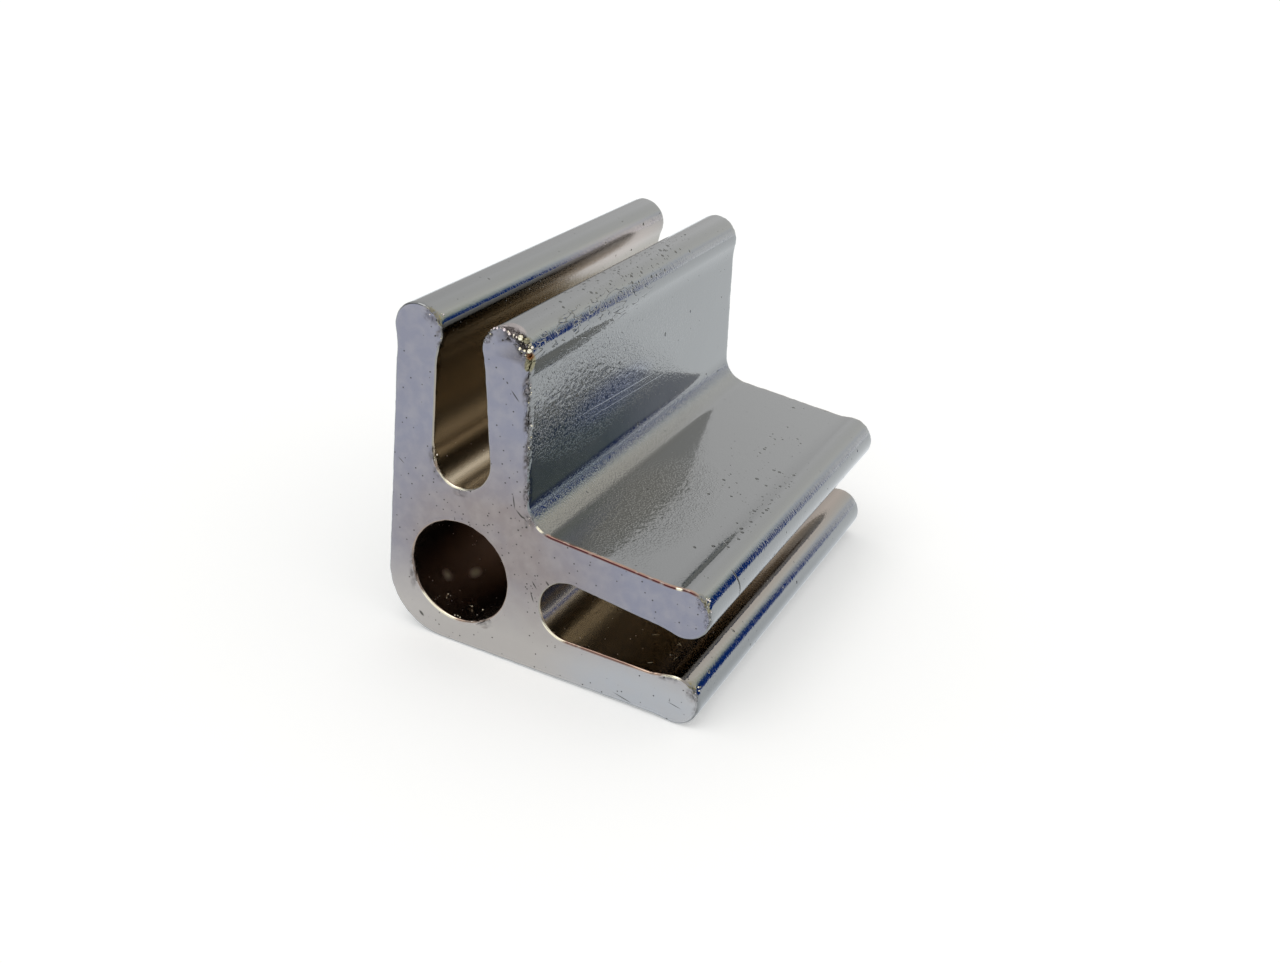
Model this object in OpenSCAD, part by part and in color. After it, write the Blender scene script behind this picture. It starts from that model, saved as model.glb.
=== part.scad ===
// Corner connector for two sheets of glass, cut from a bar with one L-shaped section.
// Each arm is a pair of legs with a glass channel between them, and a bore runs through the corner.
// The section is drawn with the outer corner at 0,0 and its arms along x and y, and is the same on
// either side of the diagonal. The part's origin is on the axis of the bore, midway along the piece.

/* [Length] */
// Length of the piece, along the bore
body_len = 57.5; // [20:0.5:200]

/* [Corner] */
// Radius of the outer corner
corner_r = 7.8; // [2:0.1:10]
// Radius of the fillet in the inner corner
inner_r = 3.6; // [1:0.1:8]
// Diameter of the bore through the corner
bore_d = 13; // [6:0.5:18]
// Metal between the bore and each outer face
bore_wall = 3.4; // [2:0.1:8]
// Metal between the bore and the floor of each channel
bore_web = 4.6; // [1:0.1:12]

/* [Glass channels] */
// Depth of a channel, from the tips of its legs to its floor
channel_depth = 21; // [14:0.5:40]
// Width of a channel at its round foot
channel_w = 7.5; // [6:0.1:9]
// Gap between the beads, which takes the glass
throat_w = 5.1; // [4:0.1:6.5]

/* [Legs] */
// Diameter of the round bead along the tip of each leg
bead_d = 6.3; // [5:0.1:9]
// Thickness of an inner leg where it leaves the corner
inner_leg_t = 5.6; // [4:0.1:9]
// How far the bead of an outer leg stands into the channel
outer_lip = 0.6; // [0.2:0.05:1.2]
// How far the bead of an inner leg stands into the channel
inner_lip = 0.2; // [0.1:0.05:0.8]
// How far a bead stands proud of the open side of its leg
bead_proud = 0.33; // [0.1:0.01:0.8]
// Radius that blends a bead into the wall of the channel
neck_channel_r = 10; // [4:0.5:20]
// Radius that blends a bead into the open side of its leg
neck_face_r = 16; // [4:0.5:24]

/* [Hidden] */
$fn = 96;

// Depth to which a blending circle bites into a flat or a bead, so that they cross in a clean edge
bite = 0.002;
// How far a cut runs past each end
overrun = 1;

bore_r = bore_d / 2;
bead_r = bead_d / 2;
foot_r = channel_w / 2;

// Distances from an outer face
bore_at = bore_wall + bore_r;
floor_at = bore_at + bore_r + bore_web;
arm_len = floor_at + channel_depth;
bead_at = arm_len - bead_r;
channel_wall_at = bead_d - outer_lip;
inner_bead_at = bead_d + throat_w + bead_r;
arm_w = channel_wall_at + channel_w + inner_leg_t;

// Centres, for the arm that runs along y
bore_c = [bore_at, bore_at];
corner_c = [corner_r, corner_r];
foot_c = [channel_wall_at + foot_r, floor_at + foot_r];
outer_bead_c = [bead_r, bead_at];
inner_bead_c = [inner_bead_at, bead_at];

// Direction from one point to another
function toward(from, to) = (to - from) / norm(to - from);

// Direction a quarter turn clockwise from a given one
function right_of(way) = [way.y, -way.x];

// Point where a line from p touches a circle, on the left of the way in (side 1) or its right (-1)
function touch(p, centre, r, side) =
    let (
        gap = p - centre,
        turn = atan2(gap.y, gap.x) + side * acos(r / norm(gap))
    )
    centre + r * [cos(turn), sin(turn)];

// Neck between a bead and a face that runs from foot to top, level with the bead's centre.
// The open side is on the right of the face (side 1) or its left (-1).
// Gives the end of the flat face, the centre of the neck's arc and the start of the bead.
function neck(bead, foot, top, r, side) =
    let (
        way = toward(foot, top),
        open = side * right_of(way),
        inset = (top - bead) * open,
        drop = sqrt(pow(r + bead_r, 2) - pow(r + inset, 2)),
        centre = bead + (r + inset) * open - drop * way
    )
    [centre - r * open, centre, bead + bead_r * toward(bead, centre)];

// Top of each face, level with the centres of the beads
outer_face_top = [bead_proud, bead_at];
outer_channel_top = [channel_wall_at, bead_at];
inner_channel_top = [inner_bead_at - bead_r + inner_lip, bead_at];
inner_face_top = [inner_bead_at + bead_r - bead_proud, bead_at];

// Foot of each face
outer_face_foot = touch(outer_face_top, corner_c, corner_r, 1);
outer_channel_foot = [channel_wall_at, foot_c.y];
inner_channel_foot = touch(inner_channel_top, foot_c, foot_r, -1);
inner_face_open = right_of(toward([arm_w, arm_w], inner_face_top));
fillet_at = arm_w + inner_r / (inner_face_open.x + inner_face_open.y);
fillet_c = [fillet_at, fillet_at];
inner_face_foot = fillet_c - inner_r * inner_face_open;

// A bar of the piece's full length, with the outline that it is given
module bar() {
    linear_extrude(height = body_len, center = true) children();
}

// A round rod of the piece's full length
module rod(centre, r) {
    translate(centre) cylinder(h = body_len, r = r, center = true);
}

// A round cut through the whole length
module round_cut(centre, r) {
    translate(centre) cylinder(h = body_len + 2 * overrun, r = r, center = true);
}

// A leg with its bead, between two faces given as [foot, top, radius of the neck].
// It reaches down to the centre of the channel's foot, inside the corner.
module leg(bead, left, right) {
    left_neck = neck(bead, left[0], left[1], left[2], -1);
    right_neck = neck(bead, right[0], right[1], right[2], 1);
    difference() {
        bar() polygon(concat(
            [left[0]], left_neck, [bead], [for (i = [2 : -1 : 0]) right_neck[i]], [right[0], foot_c]
        ));
        round_cut(left_neck[1], left[2] + bite);
        round_cut(right_neck[1], right[2] + bite);
    }
    rod(bead, bead_r);
}

// The two legs of the arm that runs along y
module arm() {
    leg(
        outer_bead_c,
        [outer_face_foot, outer_face_top, neck_face_r],
        [outer_channel_foot, outer_channel_top, neck_channel_r]
    );
    leg(
        inner_bead_c,
        [inner_channel_foot, inner_channel_top, neck_channel_r],
        [inner_face_foot, inner_face_top, neck_face_r]
    );
}

// The solid corner that the four legs grow from, with half of its outline mirrored
module corner() {
    half = [corner_c, outer_face_foot, outer_channel_foot, foot_c, inner_channel_foot, inner_face_foot];
    difference() {
        bar() polygon(concat(half, [fillet_c], [for (i = [5 : -1 : 1]) [half[i].y, half[i].x]]));
        round_cut(fillet_c, inner_r + bite);
    }
    rod(corner_c, corner_r + bite);
}

module connector() {
    color("#b7b8c4")
        rotate([90, 0, 0])
            translate(-bore_c)
                difference() {
                    union() {
                        corner();
                        arm();
                        mirror([1, -1, 0]) arm();
                    }
                    round_cut(foot_c, foot_r + bite);
                    mirror([1, -1, 0]) round_cut(foot_c, foot_r + bite);
                    round_cut(bore_c, bore_r);
                }
}

connector();
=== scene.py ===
import math
import random

import bpy
import numpy as np
from mathutils import Matrix, Vector, noise


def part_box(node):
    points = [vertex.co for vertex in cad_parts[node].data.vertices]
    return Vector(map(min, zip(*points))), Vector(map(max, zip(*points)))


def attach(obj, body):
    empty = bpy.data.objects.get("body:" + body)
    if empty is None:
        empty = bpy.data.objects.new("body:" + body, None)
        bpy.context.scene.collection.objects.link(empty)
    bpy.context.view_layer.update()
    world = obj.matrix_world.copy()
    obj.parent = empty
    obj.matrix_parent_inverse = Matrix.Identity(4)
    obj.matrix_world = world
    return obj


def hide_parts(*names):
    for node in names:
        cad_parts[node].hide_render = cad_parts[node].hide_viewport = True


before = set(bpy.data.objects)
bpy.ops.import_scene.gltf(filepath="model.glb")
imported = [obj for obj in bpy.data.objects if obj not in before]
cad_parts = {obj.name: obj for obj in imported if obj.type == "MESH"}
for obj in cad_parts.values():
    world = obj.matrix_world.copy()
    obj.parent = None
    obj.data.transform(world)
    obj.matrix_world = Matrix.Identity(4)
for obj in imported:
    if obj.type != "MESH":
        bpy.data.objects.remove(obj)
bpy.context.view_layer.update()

bl_info = {
    "name": "Glass Corner Connector",
    "version": (1, 0, 0),
    "blender": (4, 5, 0),
    "location": "3D View > Sidebar > Connector",
    "description": "Dresses the plated corner connector for glass sheets and sets up its studio",
    "category": "Object",
}

MM = 0.001
MICRON = 1e-6
NODE = "connector"
BODY = "root"
NODE_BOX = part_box(NODE)
# The cut ends, y in mm
FRONT, BACK = -28.75, 28.75
# Cells per metre of the noise that nibbles the edges, and of the noise on the skin of a nodule
EDGE_CELLS, NODULE_CELLS = 900.0, 3200.0
# Centre of the bead on the upright inner leg, x and z in mm
BEAD_AT = (4.65, 28.95)


# Helpers for values


def linear(hex_colour):
    """Linear colour of an sRGB hex value such as "#A8A49C"."""
    parts = [int(hex_colour[i : i + 2], 16) / 255 for i in (1, 3, 5)]
    return (*(p / 12.92 if p <= 0.04045 else ((p + 0.055) / 1.055) ** 2.4 for p in parts), 1.0)


def length(name, millimetres, description):
    """A size that a user may change, kept in metres."""
    return bpy.props.FloatProperty(
        name=name, description=description, default=millimetres * MM, unit="LENGTH", precision=5
    )


def tint(name, hex_colour, description):
    """A colour that a user may change."""
    return bpy.props.FloatVectorProperty(
        name=name, description=description, default=linear(hex_colour), size=4, min=0, max=1, subtype="COLOR"
    )


# Settings


class ConnectorSizes(bpy.types.PropertyGroup):
    """Sizes of the section and of its cut ends"""

    body_length: bpy.props.FloatProperty(
        name="Length", description="Length of the piece, along the bore",
        default=NODE_BOX[1].y - NODE_BOX[0].y, unit="LENGTH", precision=5,
    )
    corner_radius: length("Corner radius", 7.8, "Radius of the outer corner")
    inner_radius: length("Inner fillet radius", 3.6, "Radius of the fillet in the inner corner")
    bore: length("Bore", 13, "Diameter of the bore through the corner")
    bore_wall: length("Bore wall", 3.4, "Metal between the bore and each outer face")
    bore_web: length("Bore web", 4.6, "Metal between the bore and the floor of each channel")
    channel_depth: length("Channel depth", 21, "Depth of a channel from the tips of its legs to its floor")
    channel_width: length("Channel width", 7.5, "Width of a channel at its round foot")
    throat: length("Throat", 5.1, "Gap between the beads, which takes the glass")
    bead: length("Bead", 6.3, "Diameter of the round bead along the tip of each leg")
    inner_leg: length("Inner leg thickness", 5.6, "Thickness of an inner leg where it leaves the corner")
    outer_lip: length("Outer lip", 0.6, "How far the bead of an outer leg stands into the channel")
    inner_lip: length("Inner lip", 0.2, "How far the bead of an inner leg stands into the channel")
    bead_proud: length("Bead proud", 0.33, "How far a bead stands proud of the open side of its leg")
    channel_neck: length("Channel neck radius", 10, "Radius that blends a bead into the wall of the channel")
    face_neck: length("Face neck radius", 8, "Radius that blends a bead into the open side of its leg")
    edge_radius: length("Edge radius", 0.3, "Rounding of the plated edge round each cut end")
    edge_wear: length("Edge wear", 0.05, "How deep the cut edge is nibbled")
    wall_step: length("Step on flats", 0.5, "Spacing of mesh points along the flats of the section")
    curve_step: length("Step on curves", 0.28, "Spacing of mesh points along the curves of the section")
    bead_step: length("Step on the worn bead", 0.1, "Spacing of mesh points round the bead with the broken edge")
    face_step: length("Step on the inner faces", 0.25, "Spacing of mesh points along the faces of the inner legs")
    station_count: bpy.props.IntProperty(
        name="Stations", description="Rows of mesh points along the piece, between the rounded edges", default=56, min=4
    )
    seed: bpy.props.IntProperty(name="Seed", description="Seed of the wear on the edges", default=3)


class ConnectorFinish(bpy.types.PropertyGroup):
    """Colours of the plated metal"""

    chrome: tint("Chrome", "#848585", "Bright chrome on the open faces")
    nickel: tint("Nickel", "#ADA08B", "Warmer nickel in the channels, where little chrome reaches")
    scratch: tint("Scratch", "#C4C8CC", "Bright bottom of a scratch")
    # Painted reflection: a warm pinkish band, laid as nickel, on the channel side of the upright outer bead
    nickel_and_warm_reflection: tint("Nickel on the bead", "#B4A69E", "Pinkish nickel on the channel side of the upright outer bead")
    # Painted reflection: a blue tint on the chrome midway up the upright inner leg, in place of reflected blue
    # surroundings
    painted_blue_reflection: tint("Blue cast", "#66708E", "Chrome with a blue cast, midway up the upright inner leg")
    # Painted shade: darker chrome low on the upright inner leg, near the front
    dull: tint("Dull chrome", "#5E6A6C", "Darker chrome low on the upright inner leg, near the front")
    # Painted shade: darker, warmer chrome in the inner corner and on the lower arm beside it
    corner_shade: tint("Thin chrome", "#7C7971", "Chrome over the hollow of the inner corner, a little warm")
    # Also laid as a painted warm reflection band on the channel side of the lower outer bead
    bore_nickel_and_reflection: tint("Nickel in the bore", "#9A8A7E", "Thin dark nickel in the bore, where no chrome reaches")
    end_cool: tint("Cut end, cool", "#858591", "Satin plate towards the tips of the legs")
    end_warm: tint("Cut end, warm", "#89807E", "Satin plate round the corner and the bore")
    # Painted reflection of the floor: paler, cooler plate low on the lower leg's cut end
    end_floor_sheen: tint("Cut end, lower leg", "#ABADB1", "Brighter, cooler plate on the lower leg's cut end")
    # Brighter satin: a painted reflection of the floor towards the bottom of the cut end, and random pale clouds
    end_clouds_and_floor_sheen: tint("Cut end, bright", "#B2ACA6", "Satin plate along the outer face that lies lowest")
    pit: tint("Pits", "#34342E", "Floor of the pits and pores")
    copper: tint("Copper", "#A38C7C", "Copper layer that shows along the worn edges")
    copper_dark: tint("Darkened copper", "#4E2A2C", "Darker copper along the lower side of those edges")
    torn: tint("Broken metal", "#4A4644", "Rough metal in the broken and worn edges")
    flake: tint("Flakes", "#938F90", "Bright flakes in the broken metal")
    amber: tint("Amber stain", "#8A5A34", "Stain at the top of the stained patch beside the broken edge")
    olive: tint("Olive stain", "#858068", "Stain over the rest of that patch and along the tips of the legs")
    flap: tint("Lifted plate", "#9E9694", "Dull flap of plate behind the broken edge")
    lump_pale: tint("Pale nodule", "#E2D4D6", "Nodules at the top of the broken edge")
    # Also the colour of painted glints, cream highlights on the rounded edges
    cream_lump_and_glint: tint("Cream nodule", "#EFE8CE", "Nodules at the bottom of the broken edge")


class StudioSettings(bpy.types.PropertyGroup):
    """Camera, floor and light"""

    camera_place: bpy.props.FloatVectorProperty(
        name="Camera place", description="Where the camera stands",
        default=(0.075657, -0.152554, 0.086455), subtype="TRANSLATION", unit="LENGTH",
    )
    camera_way: bpy.props.FloatVectorProperty(
        name="Camera direction", description="Direction that the camera looks in",
        default=(-0.35572, 0.82048, -0.44752), subtype="DIRECTION",
    )
    camera_right: bpy.props.FloatVectorProperty(
        name="Camera right", description="Direction of the right side of the picture",
        default=(0.89253, 0.44027, 0.09775), subtype="DIRECTION",
    )
    focal_length: bpy.props.FloatProperty(
        name="Focal length", description="Focal length on a 36 mm wide sensor", default=39.69, unit="CAMERA"
    )
    floor_radius: length("Floor radius", 2500, "Radius of the round floor")
    floor: tint("Floor", "#F2F2F0", "Colour of the floor")
    ambient: bpy.props.FloatProperty(name="Ambient", description="Strength of the room's soft light", default=0.74)
    key_light: bpy.props.FloatProperty(name="Key light", description="Light from the key lamp, in W/m2", default=0.5)


# Section


def toward(start, end):
    return (end - start).normalized()


def right_of(way):
    return Vector((way.y, -way.x))


def touch(point, centre, radius, side):
    """Point where a line from a point touches a circle, on the left of the way in (1) or its right (-1)."""
    gap = point - centre
    turn = math.atan2(gap.y, gap.x) + side * math.acos(radius / gap.length)
    return centre + radius * Vector((math.cos(turn), math.sin(turn)))


def neck(bead, bead_r, foot, top, radius, side):
    """End of a flat face, centre of the neck's arc and start of the bead."""
    way = toward(foot, top)
    open_way = side * right_of(way)
    inset = (top - bead).dot(open_way)
    drop = math.sqrt((radius + bead_r) ** 2 - (radius + inset) ** 2)
    centre = bead + (radius + inset) * open_way - drop * way
    return centre - radius * open_way, centre, bead + bead_r * toward(bead, centre)


def arc_points(centre, start, end, step, hollow, turn):
    """Points and open directions on an arc. turn is 1 for anticlockwise and -1 for clockwise."""
    a = math.atan2(start.y - centre.y, start.x - centre.x)
    b = math.atan2(end.y - centre.y, end.x - centre.x)
    sweep = (b - a) % (2 * math.pi) if turn > 0 else -((a - b) % (2 * math.pi))
    radius = (start - centre).length
    count = max(3, math.ceil(abs(sweep) * radius / step))
    made = []
    for i in range(count):
        angle = a + sweep * i / count
        way = Vector((math.cos(angle), math.sin(angle)))
        made.append((centre + radius * way, -way if hollow else way))
    return made


def line_points(start, end, step, open_way):
    count = max(1, math.ceil((end - start).length / step))
    return [(start.lerp(end, i / count), open_way) for i in range(count)]


def section_loops(s):
    """Outline and bore of the section as (place, open direction, recess) lists, metres, origin on the bore's axis.
    recess runs from 0 on the open faces to 1 deep in a channel, and is 2 in the bore."""
    bead_r, bore_r, foot_r = s.bead / 2, s.bore / 2, s.channel_width / 2
    bore_at = s.bore_wall + bore_r
    floor_at = bore_at + bore_r + s.bore_web
    bead_at = floor_at + s.channel_depth - bead_r
    wall_at = s.bead - s.outer_lip
    inner_bead_at = s.bead + s.throat + bead_r
    arm_w = wall_at + s.channel_width + s.inner_leg
    corner_c = Vector((s.corner_radius, s.corner_radius))
    foot_c = Vector((wall_at + foot_r, floor_at + foot_r))
    outer_bead = Vector((bead_r, bead_at))
    inner_bead = Vector((inner_bead_at, bead_at))
    outer_face_top = Vector((s.bead_proud, bead_at))
    outer_channel_top = Vector((wall_at, bead_at))
    inner_channel_top = Vector((inner_bead_at - bead_r + s.inner_lip, bead_at))
    inner_face_top = Vector((inner_bead_at + bead_r - s.bead_proud, bead_at))
    outer_face_foot = touch(outer_face_top, corner_c, s.corner_radius, 1)
    outer_channel_foot = Vector((wall_at, foot_c.y))
    inner_channel_foot = touch(inner_channel_top, foot_c, foot_r, -1)
    open_way = right_of(toward(Vector((arm_w, arm_w)), inner_face_top))
    fillet_at = arm_w + s.inner_radius / (open_way.x + open_way.y)
    fillet_c = Vector((fillet_at, fillet_at))
    inner_face_foot = fillet_c - s.inner_radius * open_way

    diagonal = Vector((1, 1)).normalized()
    faces = [
        (outer_bead, outer_face_foot, outer_face_top, s.face_neck, -1),
        (outer_bead, outer_channel_foot, outer_channel_top, s.channel_neck, 1),
        (inner_bead, inner_channel_foot, inner_channel_top, s.channel_neck, -1),
        (inner_bead, inner_face_foot, inner_face_top, s.face_neck, 1),
    ]
    necks = [neck(bead, bead_r, foot, top, radius, side) for bead, foot, top, radius, side in faces]
    step, flat = s.curve_step, s.wall_step
    half = arc_points(corner_c, corner_c - s.corner_radius * diagonal, outer_face_foot, step, False, -1)
    for i, (bead, foot, top, _, side) in enumerate(faces):
        flat_end, centre, bead_start = necks[i]
        open_side = side * right_of(toward(foot, top))
        if side < 0:
            half += line_points(foot, flat_end, flat, open_side)
            half += arc_points(centre, flat_end, bead_start, step, True, 1)
            half += arc_points(bead, bead_start, necks[i + 1][2], step if i == 0 else s.bead_step, False, -1)
        else:
            half += arc_points(centre, bead_start, flat_end, step, True, 1)
            half += line_points(flat_end, foot, flat if i == 1 else s.face_step, open_side)
        if i == 1:
            half += arc_points(foot_c, outer_channel_foot, inner_channel_foot, step, True, 1)
    half += arc_points(fillet_c, inner_face_foot, fillet_c - s.inner_radius * diagonal, step, True, 1)
    fillet_end = fillet_c - s.inner_radius * diagonal

    def recess(place):
        """Only the channel lies between the centre lines of the two beads."""
        inside = wall_at - foot_r / 2 < place.x < inner_channel_foot.x + foot_r / 2
        depth = (bead_at + bead_r / 2 - place.y) / (3 * bead_r)
        return min(1.0, max(0.0, depth)) if inside and place.y > floor_at - foot_r / 2 else 0.0

    half = [(place, way, recess(place)) for place, way in half]
    mirrored = [(Vector((p.y, p.x)), Vector((w.y, w.x)), r) for p, w, r in half]
    outline = mirrored + [(fillet_end, diagonal, 0.0)] + half[:0:-1]
    centre = Vector((bore_at, bore_at))
    start = centre + Vector((bore_r, 0))
    count = round(2 * math.pi * bore_r / step)
    bore = []
    for i in range(count):
        way = Vector((math.cos(2 * math.pi * i / count), -math.sin(2 * math.pi * i / count)))
        bore.append((centre + bore_r * way, -way, 2.0))
    return [[(p - centre, w, r) for p, w, r in loop] for loop in (outline, bore)]


def new_object(name, data):
    """An object in the scene's own collection."""
    made = bpy.data.objects.new(name, data)
    bpy.context.scene.collection.objects.link(made)
    return made


def mesh_object(name, points, edges=(), faces=()):
    """A mesh object from its points and from edges or faces given by the numbers of their points."""
    mesh = bpy.data.meshes.new(name)
    mesh.from_pydata(points, edges, faces)
    return new_object(name, mesh)


def point_object(name, points, edges=(), **attributes):
    """A helper mesh of points that a node tree reads by index. It is deleted once the tree has run."""
    made = mesh_object(name, points, edges)
    for key, values in attributes.items():
        kind, field = ("FLOAT_VECTOR", "vector") if isinstance(values[0], tuple) else ("FLOAT", "value")
        made.data.attributes.new(key, kind, "POINT").data.foreach_set(field, np.array(values, np.float32).ravel())
    return made


# Node trees


def feed(tree, node, inputs):
    """Sets or links the inputs of a node."""
    for key, value in inputs.items():
        if isinstance(value, bpy.types.NodeSocket):
            tree.links.new(value, node.inputs[key])
        else:
            node.inputs[key].default_value = value


def add(tree, kind, inputs=None, **settings):
    """Adds a node with its settings and links, and gives its outputs."""
    node = tree.nodes.new(kind)
    for key, value in settings.items():
        setattr(node, key, value)
    feed(tree, node, inputs or {})
    return node.outputs


def total(tree, parts, operation="ADD"):
    """Several values added up, or their product or greatest value. A part can be a pair of a value and its weight."""
    made = None
    for part in parts:
        if isinstance(part, tuple):
            part = add(tree, "ShaderNodeMath", {0: part[0], 1: part[1]}, operation="MULTIPLY")[0]
        made = part if made is None else add(tree, "ShaderNodeMath", {0: made, 1: part}, operation=operation)[0]
    return made


def new_geometry_tree(name, sockets):
    """An empty geometry node tree with named inputs and one geometry output."""
    tree = bpy.data.node_groups.new(name, "GeometryNodeTree")
    for socket_name, kind in sockets:
        tree.interface.new_socket(socket_name, in_out="INPUT", socket_type=f"NodeSocket{kind}")
    tree.interface.new_socket("Geometry", in_out="OUTPUT", socket_type="NodeSocketGeometry")
    return tree, add(tree, "NodeGroupInput")


def run_tree(tree, name, values):
    """Runs a geometry node tree and keeps the result as a plain mesh object."""
    made = mesh_object(name, [])
    modifier = made.modifiers.new(name, "NODES")
    modifier.node_group = tree
    for item in tree.interface.items_tree:
        if item.in_out == "INPUT":
            modifier[item.identifier] = values[item.name]
    graph = bpy.context.evaluated_depsgraph_get()
    mesh = bpy.data.meshes.new_from_object(made.evaluated_get(graph))
    made.modifiers.remove(modifier)
    made.data = mesh
    mesh.name = name
    if not len(mesh.polygons):
        raise RuntimeError(f"the node tree of {name} made no faces")
    return made


WALL_SOCKETS = (
    ("Section", "Object"), ("Stations", "Object"), ("Station count", "Int"), ("Outline points", "Int"),
    ("Bore points", "Int"), ("Length", "Float"), ("Edge radius", "Float"), ("Edge wear", "Float"), ("Seed", "Int"),
    ("Side finish", "Material"), ("End finish", "Material"),
)
# Points with an end_inset above the first value, in mm, belong to the cut end. The second is kept on its flat.
ON_END, DEEP_END = 0.2, 10


def placed(tree, sockets, place, way, station):
    """Position of a section point at a station. The station's vector holds inset and end, as shares of the edge
    radius, and the place along the piece, from -1 at the front to 1 at the back. Wear eats into the edge."""
    radius = sockets["Edge radius"]
    parts = add(tree, "ShaderNodeSeparateXYZ", {0: station})
    half = total(tree, [sockets["Length"], 0.5], "MULTIPLY")
    core = add(tree, "ShaderNodeMath", {0: half, 1: radius}, operation="SUBTRACT")[0]
    depth = total(tree, [(parts[2], core), (parts[1], radius)])
    inset = total(tree, [parts[0], radius], "MULTIPLY")
    inward = add(tree, "ShaderNodeVectorMath", {0: way, "Scale": inset}, operation="SCALE")[0]
    flat = add(tree, "ShaderNodeVectorMath", {0: place, 1: inward}, operation="SUBTRACT")[0]
    flat = add(tree, "ShaderNodeSeparateXYZ", {0: flat})
    at = add(tree, "ShaderNodeCombineXYZ", {0: flat[0], 1: depth, 2: flat[1]})[0]
    # The wear is full on the rounded edge and gone 1 mm away from it, on the sides and on the cut end
    away = add(tree, "ShaderNodeMath", {0: depth}, operation="ABSOLUTE")[0]
    clear = add(tree, "ShaderNodeMath", {0: half, 1: away}, operation="SUBTRACT")[0]
    far = total(tree, [clear, inset], "MAXIMUM")
    share = add(tree, "ShaderNodeMapRange", {0: far, 1: 0.3 * MM, 2: MM, 3: 1.0, 4: 0.0})[0]
    grit = add(
        tree, "ShaderNodeTexNoise", {"Vector": at, "W": sockets["Seed"], "Scale": EDGE_CELLS, "Detail": 3.0},
        noise_dimensions="4D",
    )[0]
    bite = add(tree, "ShaderNodeMapRange", {0: grit, 1: 0.42, 2: 0.75})[0]
    bite = total(tree, [bite, share, sockets["Edge wear"]], "MULTIPLY")
    out = add(tree, "ShaderNodeSeparateXYZ", {0: way})
    side = add(tree, "ShaderNodeMath", {0: depth}, operation="SIGN")[0]
    out = add(tree, "ShaderNodeCombineXYZ", {0: out[0], 1: side, 2: out[1]})[0]
    out = add(tree, "ShaderNodeVectorMath", {0: out, "Scale": bite}, operation="SCALE")[0]
    return add(tree, "ShaderNodeVectorMath", {0: at, 1: out}, operation="SUBTRACT")[0]


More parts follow.
